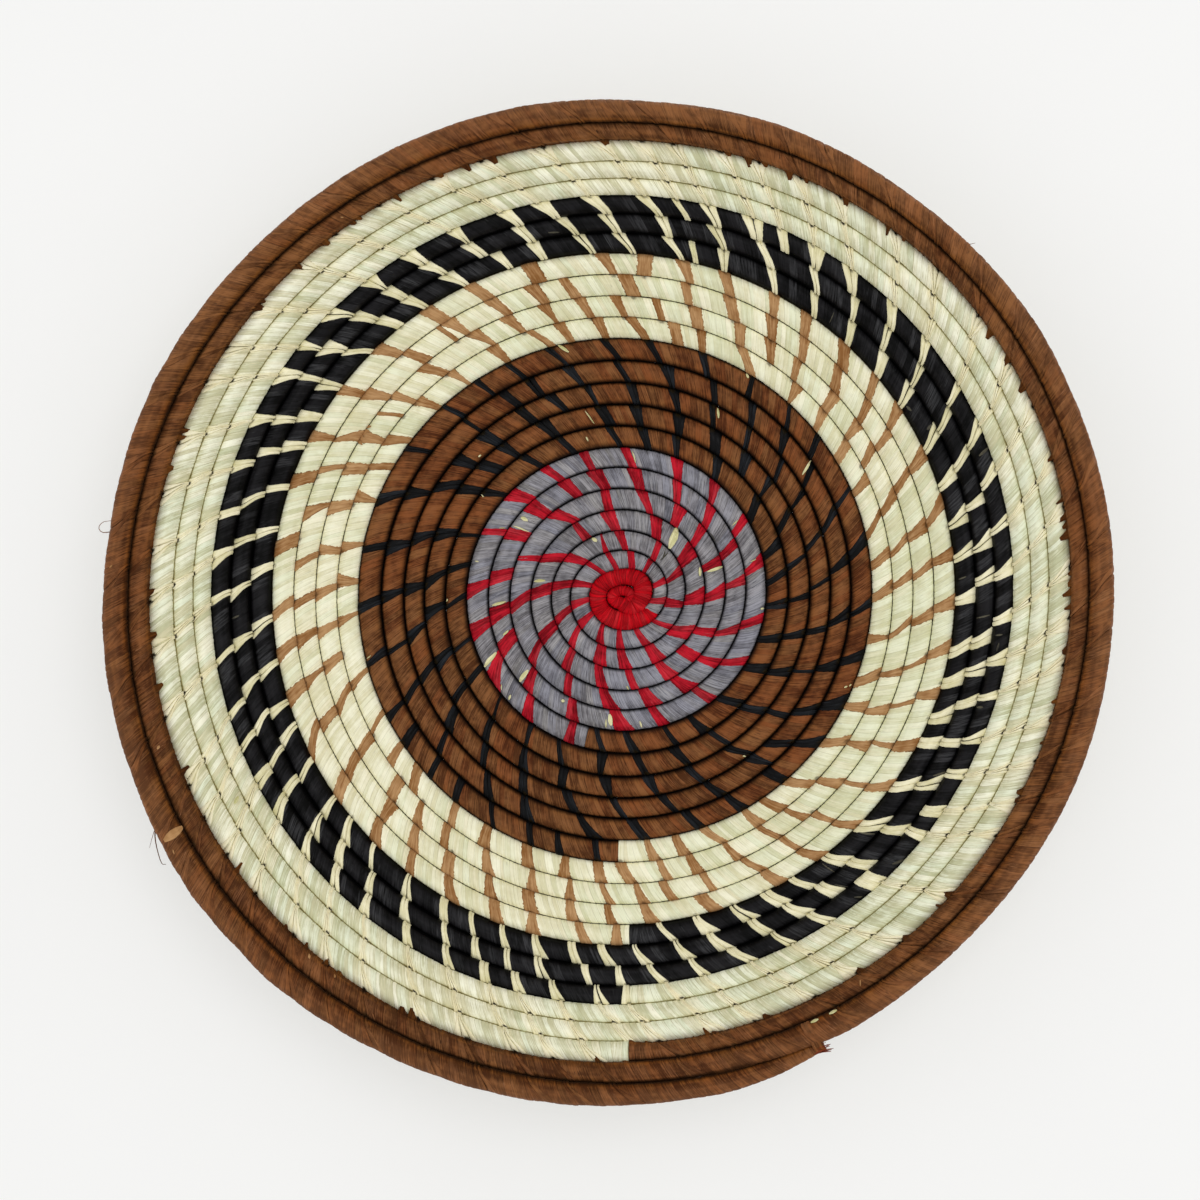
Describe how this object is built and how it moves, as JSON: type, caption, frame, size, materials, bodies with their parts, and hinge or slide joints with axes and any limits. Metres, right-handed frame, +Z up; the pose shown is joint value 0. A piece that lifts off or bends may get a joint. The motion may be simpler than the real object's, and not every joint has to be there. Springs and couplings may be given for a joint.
{
  "type": "bread basket",
  "caption": "Shallow round bread basket of coiled raffia: flat base, sloping wall and a thicker rim, wound in one spiral over a grass bundle.",
  "frame": {"origin": "middle of the basket's outline seen from above, on the plane it stands on", "axes": "+Z up out of the open bowl; +X to the right and +Y away from the viewer as the picture shows it, so the coil ends on the rim's near side, a little right of -Y"},
  "size_m": [0.2973, 0.2985, 0.0457],
  "materials": {
    "red_raffia": "satin",
    "grey_raffia": "matte",
    "brown_raffia": "matte",
    "cream_raffia": "matte",
    "black_raffia": "satin",
    "pale_raffia": "matte",
    "rim_raffia": "matte",
    "grass_stems": "matte"
  },
  "bodies": {
    "root": {"centre_knot": "red_raffia", "grey_wrap": "grey_raffia", "inner_brown_wrap": "brown_raffia", "inner_cream_wrap": "cream_raffia", "black_wrap": "black_raffia", "outer_cream_wrap": "pale_raffia", "rim_wrap": "rim_raffia", "grass_core": "grass_stems"}
  },
  "joints": []
}
